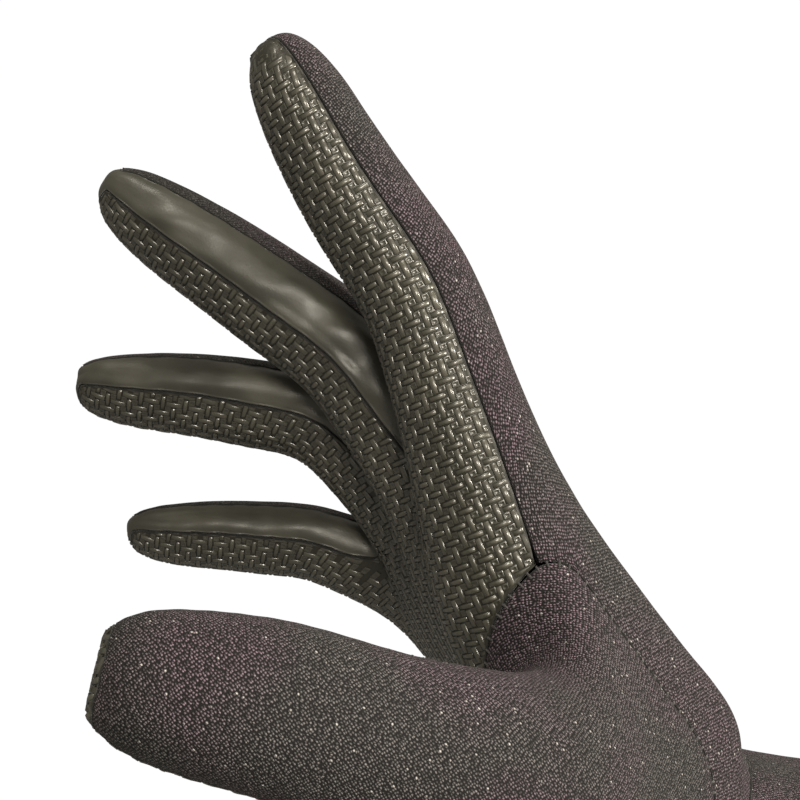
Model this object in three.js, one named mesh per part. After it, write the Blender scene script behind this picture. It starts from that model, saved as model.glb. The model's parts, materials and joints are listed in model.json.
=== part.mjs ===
// A neoprene glove for the right hand, in the shape that it holds on a hand with its fingers fanned and its
// wrist bent back. It is sewn from nine pieces: a knit-faced back, an embossed rubber palm, a knit-faced
// thumb piece with an embossed grip, three smooth side strips between the fingers, a knit cuff and a bound
// hem. All but the hem are sheets of one thickness.
// The origin is the centre of the cuff's mouth. +Z is up, +X runs towards the forearm, and the little
// finger is at +Y.
import * as THREE from "three";

// Sizes in millimetres and angles in degrees.
const WALL = 2.8; // thickness of the neoprene sheet
const HEM_WALL = 4.2; // the hem's binding goes over the sheet's edge and behind it
const HEM_PROUD = 0.7; // how far the binding stands out of the cuff
const SEAM_GAP = 0.3; // clearance between two pieces along a seam

// The four fingers, thumb side first, as joints inside the glove. root is where the finger's ray leaves the
// wrist, and knuckle is the joint at the finger's base. lengths are those of the three phalanges. lean
// turns each of them from upright towards the palm. splay turns the finger towards +Y, and roll turns its
// palm side towards the thumb. width is half the finger's width, and palm and back are its half sizes
// towards the palm and the back.
const FINGERS = [
  {
    name: "index", root: [60, 8, -82], knuckle: [19, 0, -26], lengths: [50, 26, 28], lean: [20, 34, 27],
    splay: 0, roll: 10, width: 13.2, palm: 11.2, back: 15.4,
  },
  {
    name: "middle", root: [60, 22, -82], knuckle: [18, 24, -29], lengths: [49, 28, 31], lean: [36, 55, 56],
    splay: 0, roll: 22, width: 13.2, palm: 13.2, back: 14.6,
  },
  {
    name: "ring", root: [60, 37, -83], knuckle: [16, 46, -35], lengths: [46, 26, 27], lean: [46, 80, 86],
    splay: 0, roll: 30, width: 12.8, palm: 11, back: 13,
  },
  {
    name: "little", root: [58, 52, -84], knuckle: [10.5, 66, -44], lengths: [33, 18, 23], lean: [68, 86, 88],
    splay: -3, roll: 34, width: 11.6, palm: 9.4, back: 11.2,
  },
];

// Sections of every finger from its web to its tip. bone and at give the place, and the rest scale the half
// sizes.
const FINGER_SECTIONS = [
  { bone: 0, at: 0.42, width: 1.0, palmar: 1.12, dorsal: 1.05 },
  { bone: 0, at: 0.72, width: 0.99, palmar: 1.04, dorsal: 1.0 },
  { bone: 1, at: 0.0, width: 1.02, palmar: 0.98, dorsal: 0.98 },
  { bone: 1, at: 0.5, width: 0.98, palmar: 1.0, dorsal: 0.95 },
  { bone: 2, at: 0.0, width: 0.95, palmar: 0.9, dorsal: 0.9 },
  { bone: 2, at: 0.45, width: 0.9, palmar: 0.86, dorsal: 0.8 },
  { bone: 2, at: 0.8, width: 0.76, palmar: 0.7, dorsal: 0.66 },
  { bone: 2, at: 1.0, width: 0.5, palmar: 0.42, dorsal: 0.42 },
];
const SIDE_STRIP = 0.58; // how far the side strips reach towards the palm, as a share of its depth
const STRIP_BACK = 0.2; // how far they reach towards the back, on the side that faces the thumb
const STRIP_MIDDLE = 0.15; // how far their middle lies towards the palm there
const SIDE_SEAM = 0.22; // how far the index and little fingers' plain side seams lie towards the back
const HAND_EDGE = 0.42; // depth of the back's edge beside the thumb, as a share of the hand's dorsal size
const CORNER = 0.86; // how far out a section's corners are, as a share of its width
const STRIP_CORNER = 0.97; // the same for the strips' corners beside the back
const TIP_REACH = 0.12; // how far a fingertip's middle stands out past its last section, by its width

// Sections of the hand between wrist and webs, each on the rays from root (at 0) to knuckle (at 1). seam is
// the depth of the palm's edge beside the thumb, as a share of palmar, and crease says how much of
// CREASE_SHIFT the section takes. slide is how far the edges beside the thumb lie towards the wrist, which
// makes the crotch of the thumb come to a point.
const HAND_SECTIONS = [
  { at: 0.14, width: 9.6, palmar: 20, dorsal: 19.5, seam: 0.6, crease: 0.3, slide: 0 },
  { at: 0.4, width: 10.8, palmar: 22.5, dorsal: 18, seam: 0.85, crease: 1, slide: 0 },
  { at: 0.66, width: 11.6, palmar: 23.5, dorsal: 17.5, seam: 1.0, crease: 0.9, slide: 2 },
  { at: 0.9, width: 12.8, palmar: 21.5, dorsal: 17.5, seam: 0.6, crease: 0, slide: 6 },
];
const CREASE_SHIFT = [10, 7, 5, 3]; // how far the ball of the thumb pushes the palm's first columns to +Y
const VALLEY = 0.86; // depth of the shallow valleys between the rays, as a share of the rays' own depth
const RAY_PALM = [1, 1, 0.94, 0.72]; // how deep the palm is over each finger's ray, as a share of palmar

// Rings of the cuff, from its mouth to the wrist seam: distance along the forearm, half sizes, and the
// ring's tilt.
const WRIST = { centre: [54, 29, -92], fall: 16 };
const CUFF_RINGS = [
  { out: 62, width: 40, depth: 29, tilt: 0 },
  { out: 54, width: 39.5, depth: 28.4, tilt: 0 },
  { out: 28, width: 38, depth: 26, tilt: 0 },
  { out: 0, width: 36.5, depth: 23.5, tilt: -22 },
];

// The thumb: joints from the wrist to the tip, the way its nail faces, and its sections.
const THUMB = {
  joints: [[46, -2, -80], [12, -36, -63], [-20, -48, -50], [-48.5, -50, -44]],
  nail: [0.1, -0.9, 0.42],
};
const THUMB_SECTIONS = [
  { bone: 0, at: 0.62, width: 22, depth: 18 },
  { bone: 1, at: 0.0, width: 18.5, depth: 15 },
  { bone: 1, at: 0.5, width: 15.8, depth: 13 },
  { bone: 2, at: 0.0, width: 15.4, depth: 12.4 },
  { bone: 2, at: 0.45, width: 14.6, depth: 11.6 },
  { bone: 2, at: 0.82, width: 12.4, depth: 9.6 },
  { bone: 2, at: 1.0, width: 8.6, depth: 5.8 },
];
const GRIP_FROM = 3; // the ring of the thumb where its rubber grip starts
const OPENING_BLEND = 0.5; // how far the thumb's first ring lies between its opening and its first section

const rad = THREE.MathUtils.degToRad;
const vec = (list) => new THREE.Vector3(...list);
const mix = (a, b, t) => a.clone().lerp(b, t);
const offset = (from, ...moves) => moves.reduce((p, [way, far]) => p.addScaledVector(way, far), from.clone());

// The cage: corner points under short names, and four-cornered faces that each belong to one piece of the
// glove.
const points = new Map();
const faces = [];
const put = (key, point) => points.set(key, point);
const face = (piece, ...keys) => faces.push({ piece, keys });

// The way that a straight bone points, with the ways to its back and to its little finger's side.
function frameOf(lean, splay, roll) {
  const upright = vec([-Math.sin(rad(lean)), 0, Math.cos(rad(lean))]);
  const back = vec([Math.cos(rad(lean)), 0, Math.sin(rad(lean))]);
  const across = vec([0, 1, 0]);
  const along = offset(new THREE.Vector3(), [upright, Math.cos(rad(splay))], [across, Math.sin(rad(splay))]);
  const level = offset(new THREE.Vector3(), [across, Math.cos(rad(splay))], [upright, -Math.sin(rad(splay))]);
  const dorsal = offset(new THREE.Vector3(), [back, Math.cos(rad(roll))], [level, Math.sin(rad(roll))]);
  const side = offset(new THREE.Vector3(), [level, Math.cos(rad(roll))], [back, -Math.sin(rad(roll))]);
  return { along, dorsal, side };
}

// A finger's joints, and its frame at any place: at a joint it is half way between the two bones' frames.
function fingerChain(finger) {
  const joints = [vec(finger.knuckle)];
  finger.lengths.forEach((length, bone) => {
    const { along } = frameOf(finger.lean[bone], finger.splay, 0);
    joints.push(offset(joints[bone], [along, length]));
  });
  return joints;
}
function fingerPlace(finger, section) {
  const joints = fingerChain(finger);
  const centre = mix(joints[section.bone], joints[section.bone + 1], section.at);
  const before = finger.lean[Math.max(section.bone - 1, 0)];
  const lean = section.at === 0 ? (before + finger.lean[section.bone]) / 2 : finger.lean[section.bone];
  return { centre, ...frameOf(lean, finger.splay, finger.roll) };
}

// The eight corners of a finger's section. pr, pc and pu are on the palm side, br, bc and bu on the back,
// and rm and um half way down the two sides. r is the side that faces the thumb, u the other.
function fingerCorners(finger, section) {
  const { centre, dorsal, side } = fingerPlace(finger, section);
  const width = finger.width * section.width;
  const palmar = finger.palm * section.palmar;
  const back = finger.back * section.dorsal;
  const first = finger.name === "index";
  const last = finger.name === "little";
  const lower = first ? { across: CORNER, depth: SIDE_STRIP } : { across: STRIP_CORNER, depth: STRIP_BACK };
  return {
    pr: offset(centre, [side, -width * CORNER], [dorsal, -palmar * SIDE_STRIP]),
    pc: offset(centre, [dorsal, -palmar]),
    pu: offset(centre, [side, width * CORNER], [dorsal, -palmar * SIDE_STRIP]),
    um: offset(centre, [side, width], [dorsal, last ? back * SIDE_SEAM : 0]),
    bu: offset(centre, [side, width * CORNER], [dorsal, back * SIDE_STRIP]),
    bc: offset(centre, [dorsal, back]),
    br: offset(centre, [side, -width * lower.across], [dorsal, back * lower.depth]),
    rm: offset(centre, [side, -width], [dorsal, first ? back * SIDE_SEAM : -palmar * STRIP_MIDDLE]),
  };
}

// A section of the hand on one finger's ray.
function rayPlace(finger, at) {
  const root = vec(finger.root);
  const along = vec(finger.knuckle).sub(root).normalize();
  const side = vec([0, 1, 0]).addScaledVector(along, -along.y).normalize();
  const dorsal = new THREE.Vector3().crossVectors(side, along).normalize();
  return { centre: mix(root, vec(finger.knuckle), at), along, side, dorsal };
}

// The hand's tube has twenty columns: p0 to p8 over the palm, um, b8 to b0 over the back, and rm. A finger
// has two of the palm's columns and shares their edges with its neighbours.
const PALM = [...Array(9).keys()].map((column) => "p" + column);
const BACK = [...Array(9).keys()].map((column) => "b" + column);
const AROUND = [...PALM, "um", ...BACK.toReversed(), "rm"];
const CUFF_ROWS = CUFF_RINGS.length;
const WRIST_ROW = CUFF_ROWS - 1;
const WEB_ROW = CUFF_ROWS + HAND_SECTIONS.length;
const THUMB_ROW = WEB_ROW - 1; // the row where the thumb's opening ends, at the crotch of the thumb
const body = (row, column) => row + "/" + column;

// The cuff's rings are ellipses with one corner for each column.
const FOREARM = vec([Math.cos(rad(WRIST.fall)), 0, -Math.sin(rad(WRIST.fall))]); // the way the forearm points
CUFF_RINGS.forEach((ring, row) => {
  const dorsal = vec([Math.sin(rad(WRIST.fall - ring.tilt)), 0, Math.cos(rad(WRIST.fall - ring.tilt))]);
  const centre = offset(vec(WRIST.centre), [FOREARM, ring.out]);
  AROUND.forEach((column, place) => {
    const turn = ((place + 1) / AROUND.length) * 2 * Math.PI;
    const across = -ring.width * Math.cos(turn);
    put(body(row, column), offset(centre, [vec([0, 1, 0]), across], [dorsal, -ring.depth * Math.sin(turn)]));
  });
});

// The hand's rows. A column that two rays share is half way between them and lies a little deeper.
HAND_SECTIONS.forEach((section, index) => {
  const row = CUFF_ROWS + index;
  FINGERS.forEach((finger, ray) => {
    const { centre, along, side, dorsal } = rayPlace(finger, section.at);
    const next = FINGERS[ray + 1] && rayPlace(FINGERS[ray + 1], section.at);
    const palmar = section.palmar * RAY_PALM[ray];
    put(body(row, "p" + (2 * ray + 1)), offset(centre, [dorsal, -palmar]));
    put(body(row, "b" + (2 * ray + 1)), offset(centre, [dorsal, section.dorsal]));
    if (next) {
      const between = mix(centre, next.centre, 0.5);
      put(body(row, "p" + (2 * ray + 2)), offset(between, [dorsal, -palmar * VALLEY]));
      put(body(row, "b" + (2 * ray + 2)), offset(between, [dorsal, section.dorsal * VALLEY]));
    }
    if (ray === 0) {
      const edge = offset(centre, [side, -section.width * CORNER], [along, -section.slide]);
      put(body(row, "p0"), offset(edge, [dorsal, -palmar * section.seam]));
      put(body(row, "b0"), offset(edge, [dorsal, section.dorsal * HAND_EDGE]));
      put(body(row, "rm"), offset(centre, [side, -section.width], [dorsal, section.dorsal * SIDE_SEAM]));
    }
    if (!next) {
      const edge = offset(centre, [side, section.width * CORNER]);
      put(body(row, "p8"), offset(edge, [dorsal, -palmar * SIDE_STRIP]));
      put(body(row, "b8"), offset(edge, [dorsal, section.dorsal * SIDE_STRIP]));
      put(body(row, "um"), offset(centre, [side, section.width], [dorsal, section.dorsal * SIDE_SEAM]));
    }
  });
  CREASE_SHIFT.forEach((shift, column) => {
    points.get(body(row, "p" + column)).y += shift * section.crease;
  });
});

// The web row belongs to the fingers' own sections. Where two fingers meet, they share three corners, which
// make the crotch: one on the palm, one on the back, and one between.
const webCorners = FINGERS.map((finger) => fingerCorners(finger, FINGER_SECTIONS[0]));
const crotch = (ray) => body(WEB_ROW, "web" + ray);
webCorners.forEach((corners, ray) => {
  const next = webCorners[ray + 1];
  put(body(WEB_ROW, "p" + (2 * ray + 1)), corners.pc);
  put(body(WEB_ROW, "b" + (2 * ray + 1)), corners.bc);
  if (ray === 0) {
    put(body(WEB_ROW, "p0"), corners.pr);
    put(body(WEB_ROW, "b0"), corners.br);
    put(body(WEB_ROW, "rm"), corners.rm);
  }
  if (next) {
    put(body(WEB_ROW, "p" + (2 * ray + 2)), mix(corners.pu, next.pr, 0.5));
    put(body(WEB_ROW, "b" + (2 * ray + 2)), mix(corners.bu, next.br, 0.5));
    put(crotch(ray), mix(corners.um, next.rm, 0.5));
  } else {
    put(body(WEB_ROW, "p8"), corners.pu);
    put(body(WEB_ROW, "b8"), corners.bu);
    put(body(WEB_ROW, "um"), corners.um);
  }
});

// The piece that a face of the hand's tube belongs to, from the two columns that bound it.
function handPiece(row, column, nextColumn) {
  if (row < 1) return "cuff_hem";
  if (row < WRIST_ROW) return "cuff";
  const inThumbOpening = row < THUMB_ROW && (column === "rm" || nextColumn === "rm");
  if (inThumbOpening) return null;
  return column.startsWith("p") || nextColumn === "p0" ? "palm_panel" : "back_panel";
}
for (let row = 0; row < WEB_ROW; row++) {
  AROUND.forEach((column, place) => {
    const nextColumn = AROUND[(place + 1) % AROUND.length];
    const piece = handPiece(row, column, nextColumn);
    const corners = [[row, nextColumn], [row, column], [row + 1, column], [row + 1, nextColumn]];
    if (piece) face(piece, ...corners.map(([at, name]) => body(at, name)));
  });
}

// The fingers: rings of eight corners. The first ring is the web row, and a face lies between each two
// corners.
const RING = ["pr", "pc", "pu", "um", "bu", "bc", "br", "rm"];
const STRIPS = ["side_strip_index_middle", "side_strip_middle_ring", "side_strip_ring_little"];
function fingerKey(ray, ring, corner) {
  if (ring > 0) return FINGERS[ray].name + "/" + ring + "/" + corner;
  const shared = {
    pr: body(WEB_ROW, "p" + 2 * ray),
    pc: body(WEB_ROW, "p" + (2 * ray + 1)),
    pu: body(WEB_ROW, "p" + (2 * ray + 2)),
    um: ray < FINGERS.length - 1 ? crotch(ray) : body(WEB_ROW, "um"),
    bu: body(WEB_ROW, "b" + (2 * ray + 2)),
    bc: body(WEB_ROW, "b" + (2 * ray + 1)),
    br: body(WEB_ROW, "b" + 2 * ray),
    rm: ray > 0 ? crotch(ray - 1) : body(WEB_ROW, "rm"),
  };
  return shared[corner];
}
function fingerPiece(ray, corner, nextCorner) {
  const palmSide = [corner, nextCorner].every((name) => name.startsWith("p"));
  const backSide = [corner, nextCorner].every((name) => name.startsWith("b"));
  if (palmSide) return "palm_panel";
  if (backSide) return "back_panel";
  const towardsThumb = [corner, nextCorner].includes("rm");
  const strip = towardsThumb ? STRIPS[ray - 1] : STRIPS[ray];
  if (strip) return strip;
  return [corner, nextCorner].some((name) => name.startsWith("p")) ? "palm_panel" : "back_panel";
}
FINGERS.forEach((finger, ray) => {
  FINGER_SECTIONS.slice(1).forEach((section, index) => {
    const ring = index + 1;
    const corners = fingerCorners(finger, section);
    RING.forEach((corner) => put(fingerKey(ray, ring, corner), corners[corner]));
    RING.forEach((corner, place) => {
      const nextCorner = RING[(place + 1) % RING.length];
      const keys = [[ring - 1, nextCorner], [ring - 1, corner], [ring, corner], [ring, nextCorner]];
      face(fingerPiece(ray, corner, nextCorner), ...keys.map(([at, name]) => fingerKey(ray, at, name)));
    });
  });
  const end = FINGER_SECTIONS.length - 1;
  const tip = fingerPlace(finger, FINGER_SECTIONS[end]);
  const tipKey = finger.name + "/tip";
  put(tipKey, offset(tip.centre, [tip.along, finger.width * TIP_REACH]));
  const key = (corner) => fingerKey(ray, end, corner);
  const strip = STRIPS[Math.max(ray - 1, 0)];
  const thumbSide = ray === 0 ? ["palm_panel", "back_panel"] : [strip, strip];
  const otherSide = ray === 3 ? ["palm_panel", "back_panel"] : [strip, strip];
  face(thumbSide[0], tipKey, key("pc"), key("pr"), key("rm"));
  face(otherSide[0], key("um"), key("pu"), key("pc"), tipKey);
  face(otherSide[1], key("bc"), key("bu"), key("um"), tipKey);
  face(thumbSide[1], key("br"), key("bc"), tipKey, key("rm"));
});

// The thumb: rings of twelve corners. The first ring is the opening in the hand's side: its apex, the
// back's edge down to the wrist, the wrist's own side, and the palm's edge up again.
const STEPS = [...Array(THUMB_ROW - WRIST_ROW + 1).keys()];
const NAIL_SIDE = STEPS.map((step) => "d" + step);
const GRIP_SIDE = STEPS.map((step) => "g" + step);
const THUMB_RING = ["top", ...NAIL_SIDE, "low", ...GRIP_SIDE.toReversed()];
const OPENING = { top: body(THUMB_ROW, "rm"), low: body(WRIST_ROW, "rm") };
STEPS.forEach((step) => {
  OPENING["d" + step] = body(THUMB_ROW - step, "b0");
  OPENING["g" + step] = body(THUMB_ROW - step, "p0");
});
const thumbKey = (ring, corner) => (ring > 0 ? "thumb/" + ring + "/" + corner : OPENING[corner]);
function thumbPlace(section) {
  const joints = THUMB.joints.map(vec);
  const centre = mix(joints[section.bone], joints[section.bone + 1], section.at);
  const way = (bone) => joints[bone + 1].clone().sub(joints[bone]).normalize();
  const bend = section.at === 0 && section.bone > 0;
  const along = bend ? mix(way(section.bone - 1), way(section.bone), 0.5).normalize() : way(section.bone);
  const nail = vec(THUMB.nail);
  nail.addScaledVector(along, -nail.dot(along)).normalize();
  const top = new THREE.Vector3().crossVectors(along, nail).normalize();
  if (top.z < 0) top.negate();
  return { centre, along, nail, top };
}
const FIRST_RING = 2; // ring 1 lies between the opening and this one
THUMB_SECTIONS.forEach((section, index) => {
  const { centre, nail, top } = thumbPlace(section);
  THUMB_RING.forEach((corner, place) => {
    const turn = (place / THUMB_RING.length) * 2 * Math.PI;
    const upwards = section.width * Math.cos(turn);
    const outwards = section.depth * Math.sin(turn);
    put(thumbKey(FIRST_RING + index, corner), offset(centre, [top, upwards], [nail, outwards]));
  });
});
THUMB_RING.forEach((corner) => {
  const [opening, section] = [OPENING[corner], thumbKey(FIRST_RING, corner)];
  put(thumbKey(1, corner), mix(points.get(opening), points.get(section), OPENING_BLEND));
});
const THUMB_END = THUMB_SECTIONS.length + FIRST_RING - 1;
for (let ring = 1; ring <= THUMB_END; ring++) {
  THUMB_RING.forEach((corner, place) => {
    const nextCorner = THUMB_RING[(place + 1) % THUMB_RING.length];
    const gripSide = place >= THUMB_RING.indexOf("low");
    const piece = gripSide && ring > GRIP_FROM ? "thumb_grip" : "thumb_panel";
    const keys = [[ring - 1, nextCorner], [ring - 1, corner], [ring, corner], [ring, nextCorner]];
    face(piece, ...keys.map(([at, name]) => thumbKey(at, name)));
  });
}

// The grip wraps over the thumb's end, which a row of corners along the middle closes.
const END_BULGE = 1.2;
const thumbTip = thumbPlace(THUMB_SECTIONS.at(-1));
const tipCorner = (corner) => thumbKey(THUMB_END, corner);
const middle = (step) => "thumb/tip" + step;
STEPS.forEach((step) => {
  const between = mix(points.get(tipCorner("d" + step)), points.get(tipCorner("g" + step)), 0.5);
  put(middle(step), offset(between, [thumbTip.along, END_BULGE]));
});
const lastStep = STEPS.at(-1);
face("thumb_grip", tipCorner("d0"), tipCorner("top"), tipCorner("g0"), middle(0));
STEPS.slice(1).forEach((step) => {
  const [above, below] = [middle(step - 1), middle(step)];
  face("thumb_grip", tipCorner("d" + step), tipCorner("d" + (step - 1)), above, below);
  face("thumb_grip", below, above, tipCorner("g" + (step - 1)), tipCorner("g" + step));
});
face("thumb_grip", tipCorner("g" + lastStep), tipCorner("low"), tipCorner("d" + lastStep), middle(lastStep));

// One step of Catmull-Clark subdivision. It rounds the cage and keeps each face's piece.
function subdivide(cage) {
  const edgeKey = (a, b) => (a < b ? a + "_" + b : b + "_" + a);
  const edges = new Map();
  const around = cage.points.map(() => ({ faces: [], edges: [] }));
  const middles = cage.faces.map(({ corners }) => average(corners.map((corner) => cage.points[corner])));
  cage.faces.forEach(({ corners }, index) => {
    corners.forEach((corner, place) => {
      const next = corners[(place + 1) % 4];
      const key = edgeKey(corner, next);
      if (!edges.has(key)) edges.set(key, { ends: [corner, next], faces: [] });
      edges.get(key).faces.push(index);
      around[corner].faces.push(index);
    });
  });
  edges.forEach((edge) => edge.ends.forEach((end) => around[end].edges.push(edge)));
  const middleOf = (edge) => mix(cage.points[edge.ends[0]], cage.points[edge.ends[1]], 0.5);
  const moved = cage.points.map((point, index) => {
    const { faces: near, edges: spokes } = around[index];
    const rim = spokes.filter((edge) => edge.faces.length === 1);
    if (rim.length) return mix(point, average(rim.map(middleOf)), 0.5);
    const count = near.length;
    const faceMean = average(near.map((f) => middles[f]));
    const edgeMean = average(spokes.map(middleOf));
    const shares = [[faceMean, 1], [edgeMean, 2], [point, count - 3]];
    return offset(new THREE.Vector3(), ...shares.map(([part, share]) => [part, share / count]));
  });
  const made = { points: [...moved, ...middles], faces: [] };
  edges.forEach((edge) => {
    edge.index = made.points.length;
    const flat = middleOf(edge);
    const inside = edge.faces.length === 2;
    made.points.push(inside ? mix(flat, average(edge.faces.map((f) => middles[f])), 0.5) : flat);
  });
  cage.faces.forEach(({ piece, corners }, index) => {
    corners.forEach((corner, place) => {
      const after = edges.get(edgeKey(corner, corners[(place + 1) % 4])).index;
      const before = edges.get(edgeKey(corners[(place + 3) % 4], corner)).index;
      made.faces.push({ piece, corners: [corner, after, cage.points.length + index, before] });
    });
  });
  return made;
}
function average(list) {
  return list.reduce((sum, point) => sum.add(point), new THREE.Vector3()).divideScalar(list.length);
}

// The skin of the whole glove, smoothed once, with the way out at every point.
const names = [...points.keys()];
const indexOf = new Map(names.map((key, index) => [key, index]));
const cage = {
  points: [...points.values()],
  faces: faces.map(({ piece, keys }) => ({ piece, corners: keys.map((key) => indexOf.get(key)) })),
};
const skin = subdivide(cage);
const outwards = skin.points.map(() => new THREE.Vector3());
skin.faces.forEach(({ corners }) => {
  const [a, b, c, d] = corners.map((corner) => skin.points[corner]);
  const normal = new THREE.Vector3().crossVectors(c.clone().sub(a), d.clone().sub(b));
  corners.forEach((corner) => outwards[corner].add(normal));
});
outwards.forEach((normal) => normal.normalize());

// The ways out are evened between neighbours, so that a wall keeps clear of the next one where the skin
// bends sharply.
const EVENINGS = 2;
const EVENING_SHARE = 0.5; // weight of a face's mean beside the point's own way out
for (let round = 0; round < EVENINGS; round++) {
  const before = outwards.map((normal) => normal.clone());
  skin.faces.forEach(({ corners }) => {
    const mean = average(corners.map((corner) => before[corner]));
    corners.forEach((corner) => outwards[corner].addScaledVector(mean, EVENING_SHARE));
  });
  outwards.forEach((normal) => normal.normalize());
}

// A piece as a closed solid: its outer faces, the same faces one wall further in, and the cut edge between
// them. Points on a seam move half the seam's clearance into the piece.
function sheetOf(piece, wall, proud) {
  const own = skin.faces.filter((f) => f.piece === piece);
  const rim = new Map();
  own.forEach(({ corners }) => {
    corners.forEach((corner, place) => {
      const next = corners[(place + 1) % 4];
      const back = next + ">" + corner;
      if (rim.has(back)) rim.delete(back);
      else rim.set(corner + ">" + next, [corner, next]);
    });
  });
  const inwards = new Map();
  rim.forEach(([from, to]) => {
    const edge = skin.points[to].clone().sub(skin.points[from]).normalize();
    [from, to].forEach((end) => {
      const into = new THREE.Vector3().crossVectors(outwards[end], edge);
      inwards.set(end, (inwards.get(end) ?? new THREE.Vector3()).add(into));
    });
  });
  const used = [...new Set(own.flatMap(({ corners }) => corners))];
  const place = new Map(used.map((corner, index) => [corner, index]));
  const outer = used.map((corner) => {
    const shift = inwards.get(corner)?.normalize() ?? new THREE.Vector3();
    return offset(skin.points[corner], [shift, SEAM_GAP / 2], [outwards[corner], proud]);
  });
  const inner = used.map((corner, index) => offset(outer[index], [outwards[corner], -wall]));
  const triangles = [];
  const quad = (a, b, c, d) => triangles.push(a, b, c, a, c, d);
  own.forEach(({ corners }) => {
    const [a, b, c, d] = corners.map((corner) => place.get(corner));
    quad(a, b, c, d);
    quad(d + used.length, c + used.length, b + used.length, a + used.length);
  });
  rim.forEach(([from, to]) => {
    const cut = [place.get(to), place.get(from), place.get(from) + used.length, place.get(to) + used.length];
    // The two cut edges of a seam are split into triangles along the same diagonal, so that they stay
    // parallel.
    if (from < to) quad(...cut);
    else quad(cut[3], cut[0], cut[1], cut[2]);
  });
  const geometry = new THREE.BufferGeometry().setFromPoints([...outer, ...inner]);
  geometry.setIndex(triangles);
  geometry.computeVertexNormals();
  return geometry;
}

// Materials by the look of each sheet's face.
const knit = new THREE.MeshStandardMaterial({ color: 0x4a4248, roughness: 0.9, metalness: 0 });
const embossed = new THREE.MeshStandardMaterial({ color: 0x3d3c33, roughness: 0.45, metalness: 0 });
const smooth = new THREE.MeshStandardMaterial({ color: 0x45473f, roughness: 0.5, metalness: 0 });
const binding = new THREE.MeshStandardMaterial({ color: 0x2b282a, roughness: 0.95, metalness: 0 });

const PIECES = [
  { name: "back_panel", material: knit },
  { name: "palm_panel", material: embossed },
  { name: "thumb_panel", material: knit },
  { name: "thumb_grip", material: embossed },
  ...STRIPS.map((name) => ({ name, material: smooth })),
  { name: "cuff", material: knit },
  { name: "cuff_hem", material: binding, wall: HEM_WALL, proud: HEM_PROUD },
];

const mouth = CUFF_RINGS[0];
const glove = new THREE.Group();
for (const { name, material, wall = WALL, proud = 0 } of PIECES) {
  const mesh = new THREE.Mesh(sheetOf(name, wall, proud), material);
  mesh.name = name;
  glove.add(mesh);
}
glove.position.copy(offset(vec(WRIST.centre), [FOREARM, mouth.out]).negate());

export default glove;
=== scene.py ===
# %% [markdown]
# # Neoprene glove
# A right-hand sports glove of foam sheet, held up open as it is on a hand. Its back is a dark knit glued
# on foam, its palm a rubber skin embossed with a small basket weave, and smooth strips run between the
# fingers. The CAD frame gives each sheet as a faceted solid. This script gives each of them its finish:
# the folds, puckers, relief and stitches as real shape, and the finest grain as bump.

# %% Load the frame
import json
import math

import bmesh
import bpy
import numpy as np
from mathutils import Matrix, Vector, noise
from mathutils.bvhtree import BVHTree
from mathutils.kdtree import KDTree


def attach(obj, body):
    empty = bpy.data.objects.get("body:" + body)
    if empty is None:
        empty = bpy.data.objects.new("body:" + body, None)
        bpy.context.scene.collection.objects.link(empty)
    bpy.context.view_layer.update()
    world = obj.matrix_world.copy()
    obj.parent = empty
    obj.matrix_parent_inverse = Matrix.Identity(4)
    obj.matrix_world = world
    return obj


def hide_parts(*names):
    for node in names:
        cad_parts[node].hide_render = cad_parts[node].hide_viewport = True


MM = 0.001  # metres in a millimetre
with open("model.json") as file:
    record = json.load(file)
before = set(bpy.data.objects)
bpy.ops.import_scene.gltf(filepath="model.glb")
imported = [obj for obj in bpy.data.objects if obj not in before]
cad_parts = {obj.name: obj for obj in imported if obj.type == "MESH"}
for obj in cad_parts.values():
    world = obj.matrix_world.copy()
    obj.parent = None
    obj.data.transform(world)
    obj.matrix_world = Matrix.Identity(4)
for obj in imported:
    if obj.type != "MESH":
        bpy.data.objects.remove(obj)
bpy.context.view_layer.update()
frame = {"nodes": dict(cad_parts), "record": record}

# %% [markdown]
# ## The camera
# The photograph looks level at the thumb's side of the glove, from as near as a phone is held. A lens of
# about 78 mm on a 36 mm frame, 33 cm from the forefinger, gives its perspective. The cuff leaves the
# picture at the lower right, as it does there.

# %% Place the camera
CAMERA_PLACE = Vector((-0.1136, -0.359, 0.10909))
LENS = 78.16
SENSOR = 36
camera = bpy.data.objects.new("camera", bpy.data.cameras.new("camera"))
bpy.context.collection.objects.link(camera)
camera.location = CAMERA_PLACE
camera.rotation_euler = (math.radians(90), 0, 0)
camera.data.lens = LENS
camera.data.sensor_width = SENSOR
camera.data.clip_start = 0.01
bpy.context.scene.camera = camera
print("camera at", tuple(round(x, 4) for x in camera.location))

# %% [markdown]
# ## Quads out of triangles
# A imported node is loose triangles. A subdivision surface needs shared corners and four-sided faces, so a
# copy of the node is merged and each pair of triangles becomes a quad again. The node itself is left as
# it is, and the new sheet replaces it in the picture.

# %% Merge a copy of a node into quads
MERGE = 0.01 * MM


def quads_of(name):
    """A bmesh of the node's faces, merged and four-sided."""
    bm = bmesh.new()
    bm.from_mesh(frame["nodes"][name].data)
    bmesh.ops.remove_doubles(bm, verts=bm.verts, dist=MERGE)
    bmesh.ops.join_triangles(
        bm, faces=bm.faces, angle_face_threshold=math.pi, angle_shape_threshold=math.pi
    )
    bm.normal_update()
    return bm


# %% [markdown]
# ## Outside, lining and cut edge
# Each sheet has an outer face, a lining and cut edges where it meets its neighbours. A cut face is one
# that looks straight at another node's face less than a millimetre away. Without the cut faces a sheet
# falls into two halves. The half whose faces look away from the hollow nearest to them is the outer one.

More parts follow.
